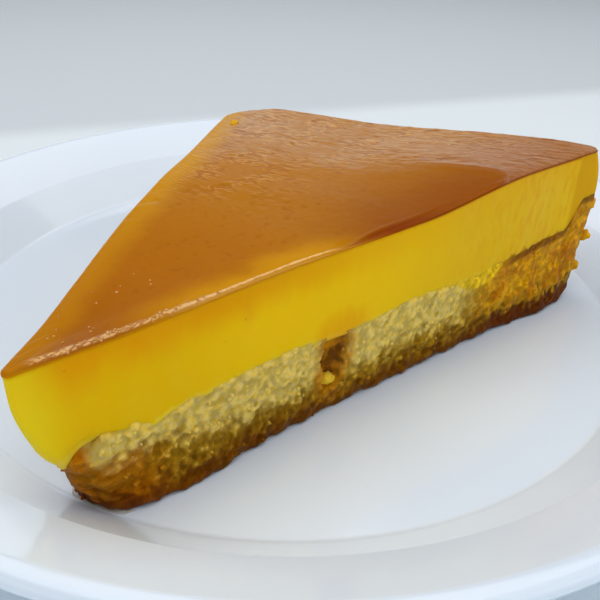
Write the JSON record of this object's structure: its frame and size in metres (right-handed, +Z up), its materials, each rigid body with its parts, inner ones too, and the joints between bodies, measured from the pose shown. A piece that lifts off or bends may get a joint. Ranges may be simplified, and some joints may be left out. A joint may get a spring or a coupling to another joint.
{
  "type": "egg yolk flan slice on plate",
  "caption": "Wedge of flan cake with egg yolk custard on a syrup-soaked sponge and a caramel top, served on a round white porcelain dessert plate.",
  "frame": {"origin": "on the table, under the centre of the plate", "axes": "+Z up; +X along the wedge from its tip to its rim; +Y to the wedge's back cut"},
  "size_m": [0.1702, 0.1702, 0.0364],
  "materials": {
    "porcelain": "glossy white glaze, faintly blue",
    "sponge": "food: moist sponge crumb, pale above and brown with syrup below",
    "custard": "food: smooth, moist, slightly translucent yellow custard",
    "caramel": "food: wet glossy caramel skin"
  },
  "bodies": {
    "root": {"plate": "porcelain", "sponge_base": "sponge", "egg_yolk_custard": "custard", "caramel_top": "caramel"}
  },
  "joints": []
}
